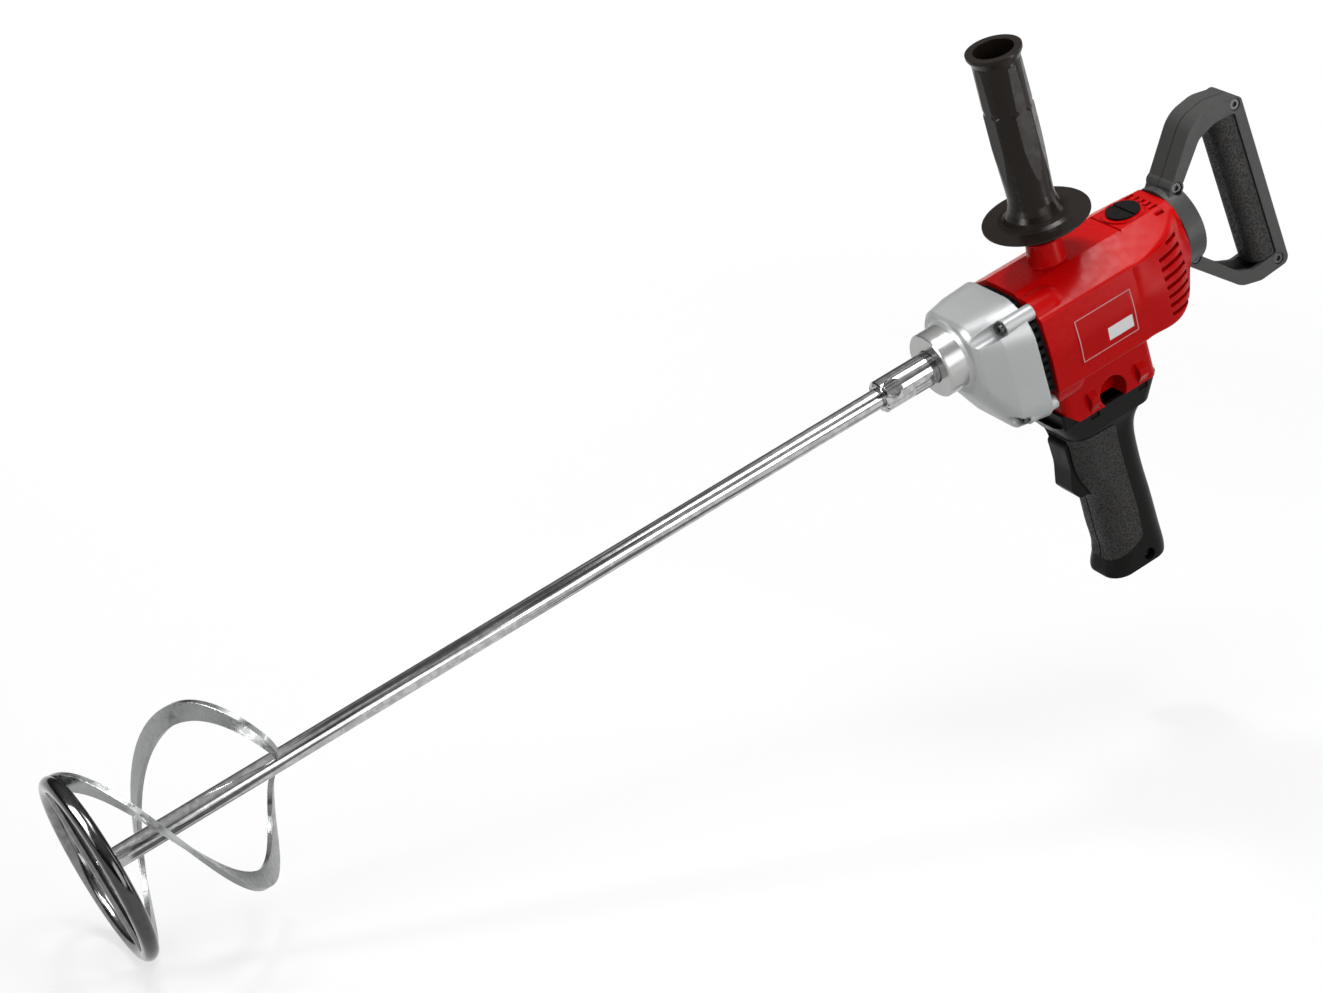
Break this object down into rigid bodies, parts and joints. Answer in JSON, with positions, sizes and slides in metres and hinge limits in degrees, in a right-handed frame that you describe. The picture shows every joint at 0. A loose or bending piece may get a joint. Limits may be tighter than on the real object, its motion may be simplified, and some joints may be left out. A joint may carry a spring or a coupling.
{
  "type": "mixing drill",
  "caption": "Hand-held electric mixing drill with a stand collar, pistol grip, side handle, D-shaped rear handle and a long rod carrying a ribbon paddle with a ring.",
  "frame": {"origin": "on the spindle axis, in the middle of the cylindrical stand collar", "axes": "+X along the spindle axis from the paddle towards the rear handle, +Z towards the side handle, -Y is the tool's left side with the handle screws"},
  "size_m": [0.8618, 0.119, 0.3815],
  "materials": {
    "red_housing": "glossy moulded red",
    "cast_aluminium": "satin casting with a machined collar",
    "bright_steel": "bright zinc plating",
    "ribbon_steel": "rolled steel strip with a dull plating",
    "black_plastic": "moulded black with a fine grain",
    "handle_plastic": "moulded brownish black, satin",
    "soft_grip": "stippled soft grip",
    "black_screw": "blackened steel",
    "bearing_steel": "ground steel",
    "gear_steel": "hardened steel, oiled",
    "bronze": "sintered bronze",
    "copper": "enamelled copper",
    "laminations": "stacked steel sheets",
    "carbon": "pressed carbon",
    "inner_plastic": "plain moulded plastic",
    "seal_rubber": "smooth rubber"
  },
  "bodies": {
    "tool": {"air_baffle": "inner_plastic", "armature_front_bearing_outer": "bearing_steel", "armature_rear_bearing_outer": "bearing_steel", "bearing_balls": "bearing_steel", "bearing_plate": "cast_aluminium", "brush_caps": "black_plastic", "brush_holders": "bronze", "brush_springs": "bearing_steel", "carbon_brushes": "carbon", "cord_gland": "seal_rubber", "exhaust_ring": "inner_plastic", "field_coils": "copper", "gear_housing": "cast_aluminium", "grip_pad_left": "soft_grip", "grip_pad_right": "soft_grip", "housing_screws": "black_screw", "intermediate_front_bush": "bronze", "intermediate_rear_bush": "bronze", "motor_housing": "red_housing", "motor_leads": "seal_rubber", "pistol_grip_left": "black_plastic", "pistol_grip_right": "black_plastic", "pistol_grip_screw": "black_screw", "rear_handle_grip": "soft_grip", "rear_handle_left": "black_plastic", "rear_handle_right": "black_plastic", "rear_handle_screws": "black_screw", "side_handle_grip": "handle_plastic", "side_handle_insert": "bronze", "side_handle_stud": "bearing_steel", "spindle_bearing_circlip": "bearing_steel", "spindle_bearing_outer": "bearing_steel", "spindle_rear_bush": "bronze", "spindle_seal": "seal_rubber", "stator_core": "laminations", "stator_screws": "black_screw", "trigger_switch": "inner_plastic"},
    "spindle": {"spindle": "bright_steel", "spindle_bearing_inner": "bearing_steel", "gear_spacer": "bearing_steel", "output_gear": "gear_steel", "gear_key": "bearing_steel", "gear_circlip": "bearing_steel", "clamp_bolt": "bright_steel", "mixing_rod": "bright_steel", "paddle_ring": "bright_steel", "paddle_cross_bar": "bright_steel", "ribbon_blade_upper": "ribbon_steel", "ribbon_blade_lower": "ribbon_steel"},
    "intermediate": {"intermediate_shaft": "gear_steel", "intermediate_gear": "gear_steel"},
    "armature": {"armature_shaft": "bearing_steel", "armature_core": "laminations", "armature_windings": "copper", "commutator": "copper", "cooling_fan": "inner_plastic", "armature_front_bearing_inner": "bearing_steel", "armature_rear_bearing_inner": "bearing_steel"},
    "trigger": {"trigger": "black_plastic", "switch_plunger": "inner_plastic"}
  },
  "joints": [
    {"name": "spindle_spin", "type": "hinge", "parent": "tool", "child": "spindle", "pos_m": [0, 0, 0], "axis": [1, 0, 0], "continuous": true},
    {"name": "intermediate_spin", "type": "hinge", "parent": "tool", "child": "intermediate", "pos_m": [0, 0.01584, -0.02171], "axis": [1, 0, 0], "continuous": true},
    {"name": "armature_spin", "type": "hinge", "parent": "tool", "child": "armature", "pos_m": [0, 0, -0.015], "axis": [1, 0, 0], "continuous": true},
    {"name": "trigger_pull", "type": "slide", "parent": "tool", "child": "trigger", "axis": [1, 0, 0], "range_m": [0, 0.007], "stiffness_N_per_m": 800, "springref_m": -0.004}
  ],
  "couplings": [
    {"joint": "intermediate_spin", "follows": "spindle_spin", "ratio": -3.7778},
    {"joint": "armature_spin", "follows": "spindle_spin", "ratio": 16.528}
  ]
}
